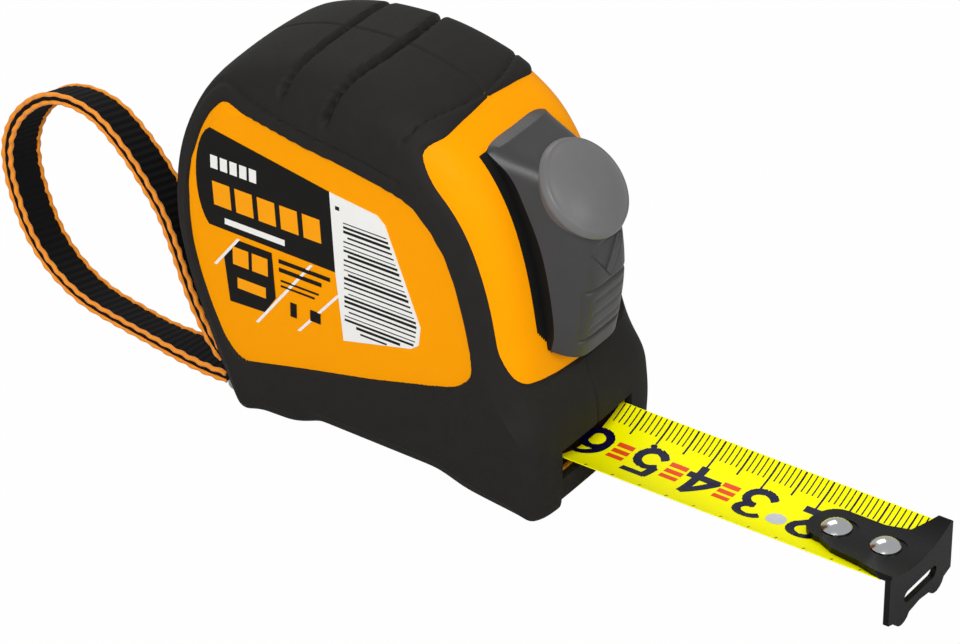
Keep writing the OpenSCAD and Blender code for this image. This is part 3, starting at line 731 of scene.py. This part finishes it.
def stroke(points, width):
    """Short overlapping rectangles along a polyline, which together draw a stroke of even width."""
    pieces = []
    for p, q in zip(points[:-1], points[1:]):
        d = (q - p) / np.linalg.norm(q - p)
        n = np.array([-d[1], d[0]]) * width / 2
        e = d * width * 0.28
        pieces.append(np.array([p - e - n, q + e - n, q + e + n, p - e + n]))
    return pieces


def bow_line(cx, cy, rx, ry, a0, a1, n=14):
    """Points on an ellipse from angle a0 to a1, in degrees."""
    a = np.radians(np.linspace(a0, a1, n))
    return np.stack([cx + rx * np.cos(a), cy + ry * np.sin(a)], -1)


# strokes of each digit in a box of width 1 and height 1.4, y upwards
P = np.array
DIGITS = {
    2: [np.vstack([bow_line(0.5, 1.0, 0.42, 0.38, 165, -30), P([[0.10, 0.05]]), P([[0.95, 0.05]])])],
    3: [bow_line(0.46, 1.04, 0.40, 0.33, 150, -80), bow_line(0.46, 0.38, 0.44, 0.36, 80, -150)],
    4: [P([[0.74, 0.0], [0.74, 1.38], [0.05, 0.42], [1.0, 0.42]])],
    5: [P([[0.90, 1.35], [0.22, 1.35], [0.16, 0.80]]), bow_line(0.48, 0.44, 0.42, 0.42, 135, -150)],
    6: [bow_line(0.52, 0.44, 0.40, 0.42, 0, 360, 22),
        np.vstack([bow_line(0.72, 0.50, 0.60, 0.88, 175, 95)])],
}


def digit(number, x_left, y_base, size):
    """Strokes of a digit that reads along -X with its top towards -Y."""
    shapes = []
    for path in DIGITS[number]:
        placed = np.stack([x_left - path[:, 0] * size, y_base - path[:, 1] * size], -1)
        shapes += stroke(placed, 0.27 * size)
    return shapes


# %% Scale marks and digits
ticks, digits, reds = [], [], []
edge_y = CHORD / 2
for mm in range(2, 61):
    at = HOOK_X - mm
    long = 5.0 if mm % 5 == 0 and mm % 10 else 6.2 if mm % 10 == 0 else 3.7
    if mm == 50:
        long = 5.0
    width = 0.24 if mm % 5 else 0.34
    ticks.append(bar(at - width / 2, at + width / 2, edge_y - long, edge_y - 0.15))
    if mm % 5 == 0:
        ticks.append(bar(at - 0.12, at + 0.12, -edge_y + 0.15, -edge_y + 1.1))
for number in range(2, 7):
    digits += digit(number, HOOK_X - 10 * number + 3.9, 3.0, 5.3)
for low_x, length in ((41.7, 3.0), (51.6, 3.2), (61.4, 3.0)):
    for row in range(3):
        reds.append(bar(low_x, low_x + length, -2.6 + 1.7 * row, -1.5 + 1.7 * row))
dots = [bow_line(47.0, 3.6, 0.6, 0.6, 0, 345, 18)]
round_dot = [bow_line(73.2, -2.2, 1.7, 1.7, 0, 350, 24)]
printed("blade_scale_ticks", ticks + dots, ink, 0.02)
printed("blade_digits", digits, ink, 0.03)
printed("blade_red_marks", reds, red_ink, 0.025)
dot_grey, tree, shader = material("pale_grey_blade_ink", "#C9CED6", 0.4, Coat_Weight=0.5)
grain(tree, shader, 0.4, 0.003, "#C9CED6", "#BFC4CC")
printed("blade_round_mark", round_dot, dot_grey, 0.035)

# %% [markdown]
# ## Label
# Printed film on the right side: a dark block, a pale block of fine bars, a badge and light diagonal
# stripes. The words of a real label are left out and plain bars stand in their place.

# %% Side label

LABEL_SHIFT = np.array([0.9, -0.3])


def label_piece(name, outline, finish, lift, side=-1, depth_mm=0.12):
    """A thin closed plate on the side panel from an outline in x and z."""
    outline = np.asarray(outline, float) + LABEL_SHIFT
    y0 = (HALF_W - ORANGE_STEP - 0.02) * side
    y1 = y0 + side * (depth_mm + lift)
    m = len(outline)
    points = np.concatenate([np.stack([outline[:, 0], np.full(m, yv), outline[:, 1]], -1) for yv in (y0, y1)])
    faces = [list(range(m)), list(range(2 * m - 1, m - 1, -1))]
    faces += [[i, (i + 1) % m, m + (i + 1) % m, m + i] for i in range(m)]
    return tidy(make(name, points, faces, finish, smooth=False, body="case", slot="label_film"))


def slab(x0, z0, x1, z1, lean=0.0):
    """Corners of a bar on the panel; `lean` shifts its top along x."""
    return [[x0, z0], [x1, z0], [x1 + lean, z1], [x0 + lean, z1]]


def group(name, outlines, finish, lift):
    """Several plates joined to one piece."""
    plates = [label_piece(name, outline, finish, lift) for outline in outlines]
    with bpy.context.temp_override(active_object=plates[0], selected_editable_objects=plates):
        bpy.ops.object.join()
    return plates[0]


block_left = bow_line(-24.0, 44.6, 3.9, 9.6, 104, 246, 12)
label_piece("label_dark_block", np.vstack([block_left, [[-0.8, 35.5], [-1.7, 50.0]]]), label_black, 0.0)
pale = np.array([[-1.7, 50.0], [-0.8, 35.5], [0.6, 23.2], [13.7, 26.5], [15.1, 27.6], [15.5, 31.0],
                 [8.9, 47.6], [7.4, 48.9]])
label_piece("label_pale_block", pale, label_white, 0.01)
fine = []
for k in range(24):
    level = 25.4 + 0.86 * k
    right_end = np.interp(level, [27.6, 31.0, 47.6, 48.9], [15.1, 15.5, 8.9, 7.4]) - 0.7
    thick = (0.34, 0.18, 0.5, 0.26, 0.42)[k * 7 % 5]
    low_x = 0.9 + (2.2 if level < 27 else 0.0)
    right_end -= max(0.0, 27.2 - level) * 3.0
    fine.append(slab(low_x + (0.0 if k % 4 else 0.8), level, right_end, level + thick))
fine.append(slab(-0.6, 47.2, 0.2, 47.9))
group("label_fine_bars", fine, label_black, 0.03)
badge = [[-20.3, 34.6], [-13.3, 34.6], [-12.7, 26.3], [-14.9, 22.9], [-21.8, 22.6], [-22.8, 30.8]]
label_piece("label_badge", badge, label_black, 0.01)
group("label_title_blocks", [slab(-24.4 + 4.4 * k, 39.9, -21.0 + 4.4 * k, 44.2, -0.3) for k in range(5)]
      + [slab(-21.0, 29.9, -17.9, 33.2), slab(-17.2, 29.9, -14.1, 33.2), slab(-20.2, 25.6, -14.6, 27.6)],
      label_orange, 0.03)
group("label_pale_bars", [slab(-24.9 + 1.9 * k, 46.6, -23.5 + 1.9 * k, 49.0) for k in range(5)]
      + [slab(-22.4, 36.9, -10.6, 38.0)], label_white, 0.03)
group("label_small_bars", [slab(-11.9, 33.3, -1.9, 34.0), slab(-11.9, 31.7, -3.6, 32.4),
                           slab(-11.6, 29.9, -4.2, 30.2), slab(-11.6, 28.9, -5.0, 29.2),
                           slab(-9.8, 24.0, -8.6, 26.6), slab(-5.9, 24.6, -3.9, 26.6)], label_black, 0.02)
group("label_diagonal_stripes", [slab(-24.9, 28.6, -24.3, 34.9, 4.8), slab(-16.8, 20.4, -16.2, 35.1, 11.0),
                                 slab(-8.5, 21.8, -7.9, 31.3, 7.9)], label_white, 0.015)

# The left side is out of sight: a plain dark film with the outline of both blocks stands there.
left_outline = np.vstack([block_left, [[0.6, 23.2], [13.7, 26.5], [15.5, 31.0], [8.9, 47.6], [-1.7, 50.0]]])
left_plate = label_piece("left_label_film", left_outline, label_black, 0.0, side=1)
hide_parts("left_label")
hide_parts("right_label")

# %% [markdown]
# ## Finishes of the pieces that keep their CAD shape
# The hook, its rivets, the lip, the pin and everything inside the case are shaped in the frame.

# %% Finishes by node
FINISH = {
    "case_screws": zinc_steel, "strap_pin": zinc_steel, "mouth_guide": zinc_steel,
    "mouth_bumper": rubber, "brake_shoe": brake_rubber, "lock_slider": button_plastic,
    "spring_arbor": spring_steel, "power_spring": spring_steel,
    "blade_lead": blade_yellow, "blade_coil": blade_yellow,
    "reel_drum": acetal, "drum_cap": acetal, "reel_washers": acetal,
    "hook_rivets": nickel, "end_hook": black_steel,
}
for name, finish in FINISH.items():
    for own in bpy.data.objects[name].material_slots:
        own.link = "OBJECT"
        own.material = finish

# %% [markdown]
# ## Studio
# A pale floor and broad soft lights.

# %% Floor and lights
floor_mesh = bpy.data.meshes.new("floor")
reach = 3.0
floor_mesh.from_pydata([(-reach, -reach, 0), (reach, -reach, 0), (reach, reach, 0), (-reach, reach, 0)], [],
                       [(0, 1, 2, 3)])
floor = bpy.data.objects.new("floor", floor_mesh)
bpy.context.collection.objects.link(floor)
floor_finish, tree, shader = material("pale_floor", "#C8C8C8", 0.9, Specular_IOR_Level=0.0)
# seen straight on, the floor glows nearly white, as an overlit paper sweep does
glow = node(tree, "ShaderNodeEmission", {"Color": (1, 1, 1, 1), "Strength": 1.0})
way_in = node(tree, "ShaderNodeLightPath")
share = node(tree, "ShaderNodeMath", {"operation": "MULTIPLY", 1: 0.985}, {0: (way_in, "Is Camera Ray")})
both = node(tree, "ShaderNodeMixShader", {}, {0: (share, 0), 1: (shader, 0), 2: (glow, 0)})
tree.links.new(both.outputs[0], tree.nodes["Material Output"].inputs["Surface"])
floor_mesh.materials.append(floor_finish)

world = bpy.data.worlds.new("studio")
bpy.context.scene.world = world
world.use_nodes = True
sky = world.node_tree.nodes["Background"]
sky.inputs[0].default_value = (1, 1, 1, 1)
look = node(world.node_tree, "ShaderNodeLightPath")
node_strength = node(world.node_tree, "ShaderNodeMapRange", {"To Min": 0.50, "To Max": 1.0},
                     {"Value": (look, "Is Camera Ray")})
world.node_tree.links.new(node_strength.outputs[0], sky.inputs[1])


def soft_light(name, place, size, power):
    """A square area light at `place`, aimed at the middle of the tool."""
    data = bpy.data.lights.new(name, "AREA")
    data.size = size
    data.energy = power
    lamp = bpy.data.objects.new(name, data)
    lamp.location = place
    lamp.rotation_euler = (Vector((0.02, 0, 0.03)) - Vector(place)).to_track_quat("-Z", "Y").to_euler()
    bpy.context.collection.objects.link(lamp)


soft_light("key", (0.25, -0.60, 0.62), 0.45, 4.6)
soft_light("fill", (0.85, -0.1, 0.40), 0.4, 1.3)
soft_light("rim", (-0.4, 0.4, 0.6), 0.4, 1.2)
